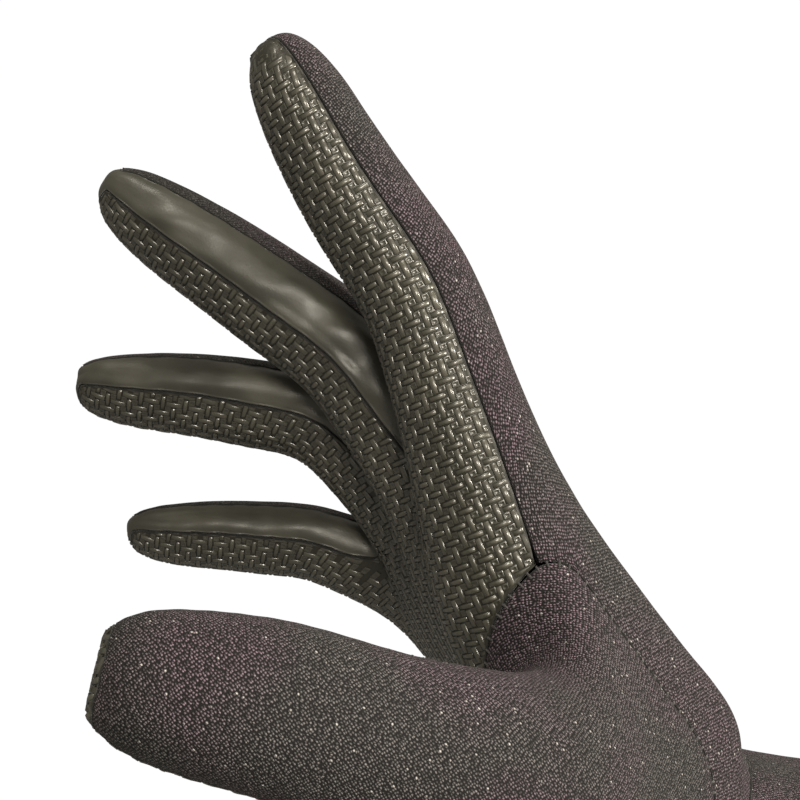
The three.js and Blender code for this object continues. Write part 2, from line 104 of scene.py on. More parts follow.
# %% Sort a sheet's faces
OUTER, LINING, CUT = 0, 1, 2
SEAM_REACH = 0.7 * MM
STEP_BACK = 0.3 * MM
FACING = -0.5  # two faces look at each other if their normals' product is below this
hollows = [
    (Vector(opening["box_m"][0]) + Vector(opening["box_m"][1])) / 2
    for opening in frame["record"]["physics"]["openings"]
]


def neighbours_of(name):
    """A search tree of every other node's faces."""
    corners = []
    faces = []
    for other, node in frame["nodes"].items():
        if other != name:
            first = len(corners)
            corners += [vertex.co.copy() for vertex in node.data.vertices]
            faces += [[first + index for index in face.vertices] for face in node.data.polygons]
    return BVHTree.FromPolygons(corners, faces)


def looks_at_neighbour(face, tree):
    start = face.calc_center_median() - face.normal * STEP_BACK
    hit = tree.ray_cast(start, face.normal, SEAM_REACH + STEP_BACK)
    return hit[0] is not None and hit[1].dot(face.normal) < FACING


def joined_faces(start, allowed):
    """The faces of `allowed` that can be reached from `start` over shared edges."""
    found = {start}
    waiting = [start]
    while waiting:
        for edge in waiting.pop().edges:
            for face in edge.link_faces:
                if face in allowed and face not in found:
                    found.add(face)
                    waiting.append(face)
    return found


def looks_outwards(faces):
    """True if these faces look away from the hollows that they lie round."""
    vote = 0
    for face in faces:
        centre = face.calc_center_median()
        hollow = min(hollows, key=lambda point: (point - centre).length)
        vote += face.calc_area() * (1 if face.normal.dot(centre - hollow) > 0 else -1)
    return vote > 0


def sort_faces(bm, name):
    """Writes OUTER, LINING or CUT into each face's material number."""
    tree = neighbours_of(name)
    left = set()
    for face in bm.faces:
        face.material_index = CUT
        face.smooth = True
        if not looks_at_neighbour(face, tree):
            left.add(face)
    while left:
        group = joined_faces(next(iter(left)), left)
        left -= group
        kind = OUTER if looks_outwards(group) else LINING
        for face in group:
            face.material_index = kind
    counts = [sum(face.material_index == kind for face in bm.faces) for kind in (OUTER, LINING, CUT)]
    print(name, "outer, lining and cut faces:", counts)


# %% [markdown]
# ## Flat patterns
# A glove maker cuts each sheet flat, so the knit's rows and the embossed relief run straight on the cut
# piece and bend with it afterwards. Unwrapping the outer face gives that flat piece back. Its UV map is
# scaled to millimetres and turned so that V runs along the fingers, the thumb or the forearm. The knit
# thumb and the knit cuff close into a ring, so each is first cut open along a line on its far side.

# %% Unwrap a sheet
FLAT_MAP = "flat_piece"
STRETCH_ROUNDS = 40


def open_ring(bm, hidden):
    """Marks a line of seam edges straight across the outer face, starting at its hidden side."""
    rim = {
        vertex
        for edge in bm.edges
        if {face.material_index for face in edge.link_faces} == {OUTER, CUT}
        for vertex in edge.verts
    }
    at = max(rim, key=lambda vertex: vertex.co.dot(hidden))
    way = None
    while way is None or at not in rim:
        spokes = [
            edge
            for edge in at.link_edges
            if not edge.seam and all(face.material_index == OUTER for face in edge.link_faces)
        ]
        if not spokes:
            break
        steps = {edge: (edge.other_vert(at).co - at.co).normalized() for edge in spokes}
        best = spokes[0] if way is None else max(spokes, key=lambda edge: steps[edge].dot(way))
        best.seam = True
        way = steps[best]
        at = best.other_vert(at)


def unwrap(piece, upwards, part=lambda point: True):
    """Unwraps the outer face in millimetres, with `upwards` along V where `part` is true."""
    bpy.context.view_layer.objects.active = piece
    bpy.ops.object.mode_set(mode="EDIT")
    bm = bmesh.from_edit_mesh(piece.data)
    for face in bm.faces:
        face.select_set(face.material_index == OUTER)
    bmesh.update_edit_mesh(piece.data)
    bpy.ops.uv.unwrap(method="MINIMUM_STRETCH", iterations=STRETCH_ROUNDS, margin=0)
    bpy.ops.object.mode_set(mode="OBJECT")
    bm = bmesh.new()
    bm.from_mesh(piece.data)
    uv = bm.loops.layers.uv.active
    outer = [face for face in bm.faces if face.material_index == OUTER]
    area = sum(face.calc_area() for face in outer)
    flat = 0
    for face in outer:
        corners = [loop[uv].uv for loop in face.loops]
        flat += abs(sum(a.cross(b) for a, b in zip(corners, corners[1:] + corners[:1]))) / 2
    scale = math.sqrt(area / flat) / MM
    loops = [loop for face in outer for loop in face.loops]
    chosen = [loop for loop in loops if part(loop.vert.co)]
    places = np.array([[*loop[uv].uv, 1] for loop in chosen])
    heights = np.array([loop.vert.co.dot(upwards) for loop in chosen])
    slope = np.linalg.lstsq(places, heights, rcond=None)[0]
    turn = Matrix.Rotation(math.atan2(slope[0], slope[1]), 2)
    for loop in loops:
        loop[uv].uv = turn @ loop[uv].uv * scale
    shares = [
        (loop[uv].uv - loop.link_loop_next[uv].uv).length * MM / loop.edge.calc_length() for loop in loops
    ]
    bm.to_mesh(piece.data)
    bm.free()
    low, high = np.percentile(shares, (5, 95))
    print(piece.name, "flat piece of", round(area * 1e4, 1), "square centimetres, edges", end=" ")
    print(round(low, 2), "to", round(high, 2), "of their length on the glove")


# %% [markdown]
# ## Combing a sheet
# The rubber was pressed before it was cut, with the weave along each finger. So the palm's flat map is
# found another way: every face says which way the finger under it points, and least squares over all the
# edges finds the map that agrees best with them.

# %% Lay a sheet flat along the fingers
WEAVE_ON_PALM = Vector((-0.14, 0, 0.99))
NEARNESS = 4  # a way counts less with this power of its distance


def finger_ways():
    """Places in the hollows, each with the way of the weave there and the number of its part."""
    names = [opening["name"] for opening in frame["record"]["physics"]["openings"]]
    place = dict(zip(names, hollows))
    ways = [(place[name], WEAVE_ON_PALM, 0) for name in ("palm_hollow_low", "palm_hollow_high")]
    for number, finger in enumerate(("index", "middle", "ring", "little"), 1):
        base, middle, tip = (place[finger + "_hollow_" + part] for part in ("base", "middle", "tip"))
        ways += [(base, WEAVE_ON_PALM + (middle - base).normalized(), number)]
        ways += [(middle, tip - base, number), (tip, tip - middle, number)]
    return [(spot, way.normalized(), number) for spot, way, number in ways]


def comb(bm, ways):
    """Writes a flat map in millimetres for the outer face, with V along `ways`."""
    layer = bm.loops.layers.uv[FLAT_MAP]
    outer = [face for face in bm.faces if face.material_index == OUTER]
    corners = sorted({vertex.index for face in outer for vertex in face.verts})
    number = {index: count for count, index in enumerate(corners)}
    rows = []
    steps = []
    for face in outer:
        centre = face.calc_center_median()
        way = sum((way / (spot - centre).length ** NEARNESS for spot, way, _ in ways), Vector())
        way -= face.normal * way.dot(face.normal)
        along = way.normalized()
        across = along.cross(face.normal)
        for loop in face.loops:
            step = (loop.link_loop_next.vert.co - loop.vert.co) / MM
            rows.append((number[loop.vert.index], number[loop.link_loop_next.vert.index]))
            steps.append((step.dot(across), step.dot(along)))
    ends = np.array(rows)
    system = np.zeros((len(rows), len(corners)))
    system[np.arange(len(rows)), ends[:, 0]] = -1
    system[np.arange(len(rows)), ends[:, 1]] = 1
    flat = np.linalg.lstsq(system, np.array(steps), rcond=None)[0]
    for face in outer:
        for loop in face.loops:
            loop[layer].uv = flat[number[loop.vert.index]]
    real = np.linalg.norm(np.array(steps), axis=1)
    shares = np.linalg.norm(flat[ends[:, 1]] - flat[ends[:, 0]], axis=1) / real
    print("combed, edges", np.percentile(shares, (5, 50, 95)).round(2), "of their length on the glove")


# %% [markdown]
# ## Building a sheet
# The quads are creased along the rims of the outer face and of the lining, which keeps those edges crisp.
# Catmull-Clark subdivision rounds the rest, down to faces of about 0.7 mm that can show a pucker.

# %% Make a sheet from its node
RIM_CREASE = 1.0
CORNER_TURN = math.radians(45)


def crease_rim(bm):
    """Keeps the rims crisp, and their corners where three sheets meet."""
    crease = bm.edges.layers.float.new("crease_edge")
    corner = bm.verts.layers.float.new("crease_vert")
    rim = {}
    for edge in bm.edges:
        kinds = {face.material_index for face in edge.link_faces}
        if kinds == {OUTER, CUT} or kinds == {LINING, CUT}:
            edge[crease] = RIM_CREASE
            for vertex in edge.verts:
                rim.setdefault(vertex, []).append(edge.other_vert(vertex).co - vertex.co)
    for vertex, ways in rim.items():
        if len(ways) == 2 and math.pi - ways[0].angle(ways[1]) > CORNER_TURN:
            vertex[corner] = 1.0


def subdivided(piece, levels):
    """Applies Catmull-Clark subdivision to the piece's mesh."""
    smooth = piece.modifiers.new("smooth", "SUBSURF")
    smooth.levels = levels
    smooth.render_levels = levels
    smooth.uv_smooth = "PRESERVE_BOUNDARIES"
    evaluated = piece.evaluated_get(bpy.context.evaluated_depsgraph_get())
    mesh = bpy.data.meshes.new_from_object(evaluated)
    piece.modifiers.clear()
    piece.data = mesh
    mesh.name = piece.name


def make_sheet(name, node, levels, upwards, part=lambda point: True, hidden=None, ways=None):
    """A new object in the node's place, laid flat and subdivided."""
    bm = quads_of(node)
    sort_faces(bm, node)
    crease_rim(bm)
    if hidden is not None:
        open_ring(bm, hidden)
    for layer in list(bm.loops.layers.uv):
        bm.loops.layers.uv.remove(layer)
    bm.loops.layers.uv.new(FLAT_MAP)
    if ways:
        bm.verts.index_update()
        comb(bm, ways)
    mesh = bpy.data.meshes.new(name)
    bm.to_mesh(mesh)
    bm.free()
    piece = bpy.data.objects.new(name, mesh)
    bpy.context.collection.objects.link(piece)
    if not ways:
        unwrap(piece, upwards, part)
    subdivided(piece, levels)
    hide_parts(node)
    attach(piece, "root")
    return piece


# %% [markdown]
# ## Measuring a sheet
# Seams pull the sheet in and pucker it, so every point of an outer face needs to know how far the nearest
# seam is and how far along that seam it lies. A search tree of the rim's points, numbered in order along
# the rim, gives both.

# %% Read a sheet's fields
FAR_FROM_RIM = 99.0  # millimetres, for points that have no rim near


class Sheet:
    """Arrays over the points of a finished mesh: place, normal, flat place, and distance to the rim."""

    def __init__(self, piece):
        self.mesh = piece.data
        count = len(self.mesh.vertices)
        self.places = np.empty(count * 3)
        self.mesh.vertices.foreach_get("co", self.places)
        self.places = self.places.reshape(-1, 3)
        normals = np.empty(count * 3)
        self.mesh.vertex_normals.foreach_get("vector", normals)
        self.normals = normals.reshape(-1, 3)
        bm = bmesh.new()
        bm.from_mesh(self.mesh)
        bm.verts.ensure_lookup_table()
        uv = bm.loops.layers.uv.active
        self.outer = np.zeros(count, bool)
        self.flat = np.zeros((count, 2))
        for face in bm.faces:
            if face.material_index == OUTER:
                for loop in face.loops:
                    self.outer[loop.vert.index] = True
                    self.flat[loop.vert.index] = loop[uv].uv
        self.rim = self.rim_loops(bm)
        bm.free()
        self.edge = np.full(count, FAR_FROM_RIM)
        self.along = np.zeros(count)
        self.measure()

    @staticmethod
    def rim_loops(bm):
        """The points of each rim in order, each with its length along the rim in millimetres."""
        follow = {}
        for edge in bm.edges:
            if {face.material_index for face in edge.link_faces} == {OUTER, CUT}:
                for vertex in edge.verts:
                    follow.setdefault(vertex.index, []).append(edge.other_vert(vertex).index)
        loops = []
        left = set(follow)
        while left:
            at = min(left)
            loop = []
            length = 0
            while at is not None:
                left.discard(at)
                loop.append((at, length))
                ahead = [index for index in follow[at] if index in left]
                if ahead:
                    length += (bm.verts[ahead[0]].co - bm.verts[at].co).length / MM
                at = ahead[0] if ahead else None
            loops.append(loop)
        return loops

    def measure(self):
        points = [entry for loop in self.rim for entry in loop]
        if not points:
            return
        tree = KDTree(len(points))
        for number, (index, _) in enumerate(points):
            tree.insert(self.places[index], number)
        tree.balance()
        for index in np.flatnonzero(self.outer):
            _, number, distance = tree.find(self.places[index])
            self.edge[index] = distance / MM
            self.along[index] = points[number][1]

    def grain(self, size, seed=0):
        """Smooth noise between about -1 and 1 at every outer point; `size` in millimetres per axis."""
        scale = 1 / (np.array(size) * MM)
        values = np.zeros(len(self.places))
        shift = Vector((seed * 17.3, seed * 5.1, seed * 9.7))
        for index in np.flatnonzero(self.outer):
            values[index] = noise.noise(Vector(self.places[index] * scale) + shift)
        return values

    def push(self, amount):
        """Moves the outer points along their normals by `amount` millimetres."""
        self.places += self.normals * (amount * self.outer * MM)[:, None]
        self.mesh.vertices.foreach_set("co", self.places.ravel())
        self.mesh.update()

    def divide(self, spots):
        """Gives each point the number of the nearest of these places, as the part it belongs to."""
        tree = KDTree(len(spots))
        for spot, number in spots:
            tree.insert(spot, number)
        tree.balance()
        self.part = np.array([tree.find(place)[1] for place in self.places])

    def flat_tree(self, parts):
        """A search tree of the flat piece, of these parts only, and the corners of its faces."""
        self.mesh.calc_loop_triangles()
        corners = np.array([
            triangle.vertices
            for triangle in self.mesh.loop_triangles
            if self.mesh.polygons[triangle.polygon_index].material_index == OUTER
            and self.part[triangle.vertices[0]] in parts
        ])
        paper = np.column_stack([self.flat, np.zeros(len(self.flat))])
        return BVHTree.FromPolygons(paper.tolist(), corners.tolist()), corners

    def lay(self, flat, tree, corners):
        """Place, normal, rim distance and part on the glove for points on the flat piece."""
        found = [tree.find_nearest((u, v, 0)) for u, v in flat]
        spots = np.array([hit[0][:2] for hit in found])
        a, b, c = (corners[[hit[2] for hit in found], corner] for corner in range(3))
        side_b = self.flat[b] - self.flat[a]
        side_c = self.flat[c] - self.flat[a]
        way = spots - self.flat[a]
        twice = side_b[:, 0] * side_c[:, 1] - side_b[:, 1] * side_c[:, 0]
        share_b = (way[:, 0] * side_c[:, 1] - way[:, 1] * side_c[:, 0]) / twice
        share_c = (side_b[:, 0] * way[:, 1] - side_b[:, 1] * way[:, 0]) / twice

        def mixed(values):
            start = values[a]
            rest = (values[b] - start) * share_b[..., None] + (values[c] - start) * share_c[..., None]
            return start + rest

        normals = np.empty(len(self.places) * 3)
        self.mesh.vertex_normals.foreach_get("vector", normals)
        room = mixed(self.edge[:, None])[:, 0] - np.array([hit[3] for hit in found])
        return mixed(self.places), mixed(normals.reshape(-1, 3)), room, self.part[a]


def smooth_step(low, high, values):
    share = np.clip((values - low) / (high - low), 0, 1)
    return share * share * (3 - 2 * share)


ROLL_WIDTH = 0.9  # millimetres over which the edge rolls down
PUCKER_LENGTH = 2.6  # millimetres over which the puckers fade
UNEVEN = (1.7, 11)  # how far the puckers shift, in radians, and over how many millimetres


def seam_pull(sheet, roll, pucker, pitch):
    """How far a seam pulls the sheet in: a rolled edge, and puckers that fade away from it."""
    beat = 2 * math.pi * sheet.along / pitch + UNEVEN[0] * np.sin(sheet.along / UNEVEN[1])
    rolled = roll * np.exp(-((sheet.edge / ROLL_WIDTH) ** 2))
    puckered = pucker * np.exp(-sheet.edge / PUCKER_LENGTH) * (0.5 + 0.5 * np.sin(beat))
    return rolled + puckered


# %% [markdown]
# ## Wiring materials
# Each material is a Principled shader with a few nodes in front of it. A small class adds the nodes and
# links them, so that a material reads as a list of what it is made of.

# %% Add nodes and links


class Finish:
    """A node material under construction."""

    def __init__(self, name):
        self.material = bpy.data.materials.new(name)
        self.material.use_nodes = True
        self.tree = self.material.node_tree
        self.shader = self.tree.nodes["Principled BSDF"]

    def add(self, kind, inputs=None, **settings):
        node = self.tree.nodes.new("ShaderNode" + kind)
        for key, value in settings.items():
            setattr(node, key, value)
        for key, value in (inputs or {}).items():
            self.set(node.inputs[key], value)
        return node

    def set(self, socket, value):
        if isinstance(value, bpy.types.NodeSocket):
            self.tree.links.new(value, socket)
        else:
            socket.default_value = value

    def sum(self, operation, *values):
        node = self.add("Math", operation=operation)
        for socket, value in zip(node.inputs, values):
            self.set(socket, value)
        return node.outputs[0]

    def blend(self, share, low, high):
        node = self.add("Mix", data_type="RGBA")
        for key, value in zip((0, 6, 7), (share, low, high)):
            self.set(node.inputs[key], value)
        return node.outputs[2]

    def range(self, value, low, high, out_low, out_high):
        names = ("Value", "From Min", "From Max", "To Min", "To Max")
        node = self.add("MapRange", dict(zip(names, (value, low, high, out_low, out_high))))
        return node.outputs[0]

    def noise(self, size, detail=2.0, rough=0.5):
        """Noise with grains of about `size` millimetres, on Object coordinates."""
        place = self.add("TexCoord").outputs["Object"]
        node = self.add(
            "TexNoise",
            {"Vector": place, "Scale": 1 / (size * MM), "Detail": detail, "Roughness": rough},
        )
        return node.outputs["Fac"]

    def attribute(self, name):
        return self.add("Attribute", attribute_name=name).outputs["Fac"]

    def bump(self, height, depth):
        """A Bump node for a height between 0 and 1 that stands `depth` millimetres high."""
        node = self.add("Bump", {"Height": height, "Distance": depth * MM, "Strength": 1.0})
        return node.outputs[0]

    def finish(self, **sockets):
        names = {"colour": "Base Color", "roughness": "Roughness", "normal": "Normal"}
        for key, value in sockets.items():
            self.set(self.shader.inputs[names.get(key, key)], value)
        return self.material


# %% [markdown]
# ## The embossed relief
# The palm's rubber is pressed with a small basket weave: upright bars and cross bars take turns, with a
# little dimpled block in each gap. Moving the sheet's own points would need hundreds of thousands of them
# to show crisp edges. So both bars and the block are modelled on their own, with rounded shoulders, and
# copies of them are laid out on the flat piece and wrapped on to the glove with it.

# %% Model the bars and the block
COLUMN = 2.76  # millimetres between columns, across the finger
ROW = 2.38  # millimetres between rows, along the finger
UPRIGHT = (1.16, 3.5)  # width and length in millimetres
CROSS = (0.92, 3.4)
BLOCK = (1.44, 1.24)
RELIEF = 0.36  # how high the bars stand above the grooves
BLOCK_RELIEF = 0.26
SINK = 0.12  # how deep they reach into the sheet
SHOULDER = 0.2  # width of the rounded edge
WALL_SLOPE = 0.07  # how far the wall leans out at its foot
DIMPLE = (0.16, 0.12)  # how far the block's dimple stays from its edge, and how deep it is


def across_profile(size, height):
    """Places across a bar and their heights: wall, shoulder, flat top, shoulder, wall."""
    half = size / 2
    foot = half + WALL_SLOPE
    places = (-foot, -half, -half + SHOULDER, half - SHOULDER, half, foot)
    return list(zip(places, (-SINK, 0.5 * height, height, height, 0.5 * height, -SINK)))


def along_profile(size, height):
    """Places along a bar and their heights: wall, top, middle, top, wall."""
    half = size / 2
    places = (-half, -half + SHOULDER, 0, half - SHOULDER, half)
    return list(zip(places, (-SINK, height, height, height, -SINK)))


def pillow(name, across, along, dimpled=False):
    """A raised patch over a grid: each point takes the lower of its two profile heights."""
    bm = bmesh.new()
    columns, rows = len(across) - 1, len(along) - 1
    bmesh.ops.create_grid(bm, x_segments=columns, y_segments=rows, size=1)
    for vertex in bm.verts:
        x, low = across[round((vertex.co.x + 1) / 2 * columns)]
        y, high = along[round((vertex.co.y + 1) / 2 * rows)]
        vertex.co = (x, y, min(low, high))
    buried = [face for face in bm.faces if max(vertex.co.z for vertex in face.verts) < 0]
    bmesh.ops.delete(bm, geom=buried, context="FACES")
    if dimpled:
        top = max(bm.faces, key=lambda face: face.calc_center_median().z)
        bmesh.ops.inset_individual(bm, faces=[top], thickness=DIMPLE[0], depth=-DIMPLE[1])
    for face in bm.faces:
        face.smooth = True
    mesh = bpy.data.meshes.new(name)
    bm.to_mesh(mesh)
    bm.free()
    return mesh


upright = pillow("upright", across_profile(UPRIGHT[0], RELIEF), along_profile(UPRIGHT[1], RELIEF))
cross = pillow("cross", along_profile(CROSS[1], RELIEF), across_profile(CROSS[0], RELIEF))
block = pillow(
    "block",
    across_profile(BLOCK[0], BLOCK_RELIEF)[1:-1],
    across_profile(BLOCK[1], BLOCK_RELIEF)[1:-1],
    dimpled=True,
)

# %% [markdown]
# ## Laying the relief
# Upright bars sit where the column and row numbers add up to an even number, cross bars at the odd ones,
# and blocks in the middle between four bars. Near a seam the press leaves the sheet flat, so the bars
# sink there until they are gone.

# %% Lay the bars on a sheet
FLAT_BAND = (0.3, 1.2)  # millimetres from the rim where the relief starts and is full
GROOVE_DEPTH = 0.22
OVER_THE_RIM = -0.3  # millimetres that a bar's middle may lie outside the rim
BURIED = 0.08  # how deep a bar sinks where the sheet is flat
PRESSED_AWAY = 0.75  # the share of the relief that is gone at the forefinger's end
LONGEST_REACH = 2.6 * MM  # a bar that reaches further has been torn over a gap, and is left out
PRESSED_TIP = (0.1675, 0.173)  # heights in metres where the forefinger's end is pressed smooth


def sites_over(flat):
    """Each bar and block of the pattern over the flat piece: its shape and its place."""
    low = np.floor(flat.min(axis=0) / (COLUMN, ROW)).astype(int)
    high = np.ceil(flat.max(axis=0) / (COLUMN, ROW)).astype(int)
    sites = []
    for i in range(low[0], high[0] + 1):
        for j in range(low[1], high[1] + 1):
            sites.append((upright if (i + j) % 2 == 0 else cross, (i * COLUMN, j * ROW)))
            sites.append((block, ((i + 0.5) * COLUMN, (j + 0.5) * ROW)))
    return sites


def lay_part(sheet, number):
    """The bars that lie on one part. Fingers may overlap on paper, so each is laid with the palm only."""
    here = sheet.part == number
    tree, corners = sheet.flat_tree({0, number} if number else set(sheet.part))
    sites = sites_over(sheet.flat[sheet.outer & here])
    _, _, room, owner = sheet.lay(np.array([place for _, place in sites]), tree, corners)
    inside = (room > OVER_THE_RIM) & (owner == number)
    chosen = [site for site, good in zip(sites, inside) if good]
    points = np.concatenate([vertex_places(shape) for shape, _ in chosen])
    moves = np.concatenate([np.tile(place, (len(shape.vertices), 1)) for shape, place in chosen])
    places, normals, room, _ = sheet.lay(points[:, :2] + moves, tree, corners)
    owner = np.repeat(np.arange(len(chosen)), [len(shape.vertices) for shape, _ in chosen])
    middles = np.array([places[owner == number].mean(axis=0) for number in range(len(chosen))])
    reach = np.zeros(len(chosen))
    np.maximum.at(reach, owner, np.linalg.norm(places - middles[owner], axis=1))
    whole = reach < LONGEST_REACH
    kept = whole[owner]
    shapes = [shape for (shape, _), good in zip(chosen, whole) if good]
    return shapes, points[kept, 2], places[kept], normals[kept], room[kept]


def vertex_places(mesh):
    places = np.empty(len(mesh.vertices) * 3)
    mesh.vertices.foreach_get("co", places)
    return places.reshape(-1, 3)


def lay_relief(name, sheet):
    """One joined mesh of all the bars and blocks, wrapped on to the sheet."""
    laid = [lay_part(sheet, number) for number in sorted(set(sheet.part[sheet.outer]))]
    bm = bmesh.new()
    for shape in [shape for part in laid for shape in part[0]]:
        bm.from_mesh(shape)
    mesh = bpy.data.meshes.new(name)
    bm.to_mesh(mesh)
    bm.free()
    local, places, normals, room = (np.concatenate([part[field] for part in laid]) for field in range(1, 5))
    fade = smooth_step(*FLAT_BAND, room)
    fade *= 1 - PRESSED_AWAY * smooth_step(*PRESSED_TIP, places[:, 2])
    height = np.where(local > 0, local * fade - BURIED * (1 - fade), local)
    places = places + normals * (height * MM)[:, None]
    mesh.vertices.foreach_set("co", places.ravel())
    # The bar material paints the tops lighter by this height share, as painted light.
    top = mesh.attributes.new("top", "FLOAT", "POINT")
    top.data.foreach_set("value", np.clip(local / RELIEF, 0, 1).astype(np.float32))
    mesh.update()
    piece = bpy.data.objects.new(name, mesh)
    bpy.context.collection.objects.link(piece)
    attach(piece, "root")
    print(name, "has", len(mesh.loop_triangles), "triangles")
    return piece


# %% [markdown]
# ## Embossed rubber
# The rubber skin is a greenish black with a satin gloss. The groove floor and the bars' sides are painted
# darker, as painted shade, and the bars' tops lighter, as painted light. The bars are smoother than the
# grooves, their tops have paler patches that are partly wear and partly painted highlight, and fine grain
# breaks the highlights up.

# %% Make the embossed rubber
NOISE_SPAN = (0.3, 0.7)  # most of a noise node's values lie between these
# The groove floor and the bars' sides are painted darker than the bars' tops, as painted shade.
SHADED_GROOVE = (0.016, 0.015, 0.011, 1)
SHADED_RUBBER = (0.026, 0.025, 0.018, 1)
# The bars' tops are painted lighter, as painted light.
LIT_RUBBER = (0.046, 0.044, 0.033, 1)
# Paler patches on the bars' tops: partly wear and partly painted highlight.
WORN_AND_HIGHLIT = (0.080, 0.076, 0.058, 1)


def groove_rubber():
    finish = Finish("groove_rubber")
    grain = finish.noise(0.4, 4, 0.6)
    return finish.finish(
        # Painted shade: the groove floor is painted in tones darker than the bars' tops.
        colour=finish.blend(finish.range(grain, *NOISE_SPAN, 0, 1), SHADED_GROOVE, SHADED_RUBBER),
        roughness=finish.range(grain, *NOISE_SPAN, 0.42, 0.55),
        normal=finish.bump(grain, 0.03),
        **{"Specular IOR Level": 0.5},
    )


def bar_rubber():
    finish = Finish("bar_rubber")
    top = finish.attribute("top")
    # Painted light and shade: the bars' tops are painted lighter and their sides darker, by height.
    colour = finish.blend(finish.range(top, 0.5, 0.9, 0, 1), SHADED_RUBBER, LIT_RUBBER)
    # Patches of the tops are painted paler, partly as wear and partly as painted highlight.
    wear_and_highlight = finish.range(finish.noise(9, 3), 0.42, 0.7, 0, 0.6)
    colour = finish.blend(finish.sum("MULTIPLY", wear_and_highlight, top), colour, WORN_AND_HIGHLIT)
    grain = finish.noise(0.3, 4, 0.6)
    return finish.finish(
        colour=colour,
        roughness=finish.range(grain, *NOISE_SPAN, 0.24, 0.36),
        normal=finish.bump(grain, 0.02),
        **{"Specular IOR Level": 1.0},
    )


# %% [markdown]
# ## Smooth rubber
# The strips between the fingers are plain foam skin. It is the same greenish black, but smooth, so it
# shows long soft highlights, with a faint leathery grain.

# %% Make the smooth rubber
STRIP_DARK = (0.034, 0.034, 0.027, 1)
STRIP_PALE = (0.062, 0.060, 0.049, 1)


def smooth_rubber():
    finish = Finish("strip_rubber")
    cloud = finish.range(finish.noise(14, 3), 0.35, 0.65, 0, 1)
    colour = finish.blend(cloud, STRIP_DARK, STRIP_PALE)
    roughness = finish.range(finish.noise(5, 4), *NOISE_SPAN, 0.36, 0.5)
    grain = finish.noise(0.5, 5, 0.65)
    return finish.finish(
        colour=colour,
        roughness=roughness,
        normal=finish.bump(grain, 0.035),
        **{"Specular IOR Level": 0.5},
    )


# %% [markdown]
# ## Knit
# The back is a fine jersey laminated on foam. Its stitches stand in slanting rows, each a little out of
# line and with a tone of its own, with dark holes between them. Yarn of a purple and a greyer black is
# mixed, and here and there a single stitch is painted pale as a glint, a painted highlight.

# %% Make the knit
KNIT_DARK = (0.004, 0.0035, 0.004, 1)
KNIT_PALE = (0.225, 0.160, 0.205, 1)
KNIT_GREY = (0.165, 0.156, 0.156, 1)
# The colour of painted glints, painted highlights on single stitches.
PAINTED_GLINT = (0.60, 0.57, 0.56, 1)
STITCH = (0.60, 0.48)  # millimetres along the row and between rows
SLANT = math.radians(40)  # how far the rows rise across the sheet
ROW_DRIFT = (0.28, 0.9)  # how fast and how far the rows wander, in stitches
LOOSE = 0.5  # how far the stitches leave their rows, from 0 to 1
FIBRE = 0.45  # the height of single fibres, as a share of a stitch's
# A stitch gets a painted glint if its random number is above these.
GLINT_ABOVE = (0.986, 0.996)  # a stitch is bright if its random number is above these


def knit(name, dark, pale, grey):
    finish = Finish(name)
    flat = finish.add("UVMap", uv_map=FLAT_MAP).outputs[0]
    turned = finish.add(
        "Mapping",
        {"Vector": flat, "Rotation": (0, 0, SLANT), "Scale": (*STITCH, 1)},
        vector_type="TEXTURE",
    ).outputs[0]
    drift = finish.add("VectorMath", operation="SCALE")
    wander = finish.add("TexNoise", {"Vector": turned, "Scale": ROW_DRIFT[0]}).outputs["Color"]
    finish.set(drift.inputs[0], wander)
    finish.set(drift.inputs["Scale"], ROW_DRIFT[1])
    place = finish.add("VectorMath", {0: turned, 1: drift.outputs[0]}, operation="ADD").outputs[0]
    cells = finish.add("TexVoronoi", {"Vector": place, "Scale": 1, "Randomness": LOOSE})
    cells.voronoi_dimensions = "2D"
    split = finish.add("SeparateXYZ", {0: cells.outputs["Color"]})
    stitch = finish.range(cells.outputs["Distance"], 0.08, 0.5, 1, 0)
    fibre = finish.noise(0.3, 2, 0.8)
    height = finish.sum("ADD", stitch, finish.sum("MULTIPLY", fibre, FIBRE))
    own_tone = finish.range(split.outputs[0], 0, 1, 0.15, 1.1)
    tone = finish.sum("MULTIPLY", finish.range(height, 0.35, 1.3, 0, 1), own_tone)
    clouds = finish.range(finish.noise(38, 2), 0.42, 0.58, 0.0, 1.0)
    colour = finish.blend(tone, dark, finish.blend(clouds, pale, grey))
    # A few stitches are painted pale, as painted glints.
    glint = finish.range(split.outputs[1], *GLINT_ABOVE, 0, 0.75)
    colour = finish.blend(finish.sum("MULTIPLY", glint, stitch), colour, PAINTED_GLINT)
    return finish.finish(
        colour=colour,
        roughness=finish.range(height, 0.3, 1, 0.9, 0.6),
        normal=finish.bump(height, 0.16),
        **{"Sheen Weight": 0.03, "Sheen Roughness": 0.4, "Specular IOR Level": 0.3},
    )


# %% [markdown]
# ## Lining, foam and thread
# The lining is a plain dark jersey, seen only through the wrist. The sheets' cut edges show the black
# foam. Thread and binding are matt black.

# %% Make the plain finishes


def plain_cloth(name, dark, pale, size, depth):
    """Matt cloth, with the size of its fibres and the depth of their bump in millimetres."""
    finish = Finish(name)
    fibre = finish.noise(size, 4, 0.6)
    return finish.finish(
        colour=finish.blend(finish.range(fibre, *NOISE_SPAN, 0, 1), dark, pale),
        roughness=finish.range(fibre, *NOISE_SPAN, 0.95, 0.8),
        normal=finish.bump(fibre, depth),
        **{"Sheen Weight": 0.15},
    )


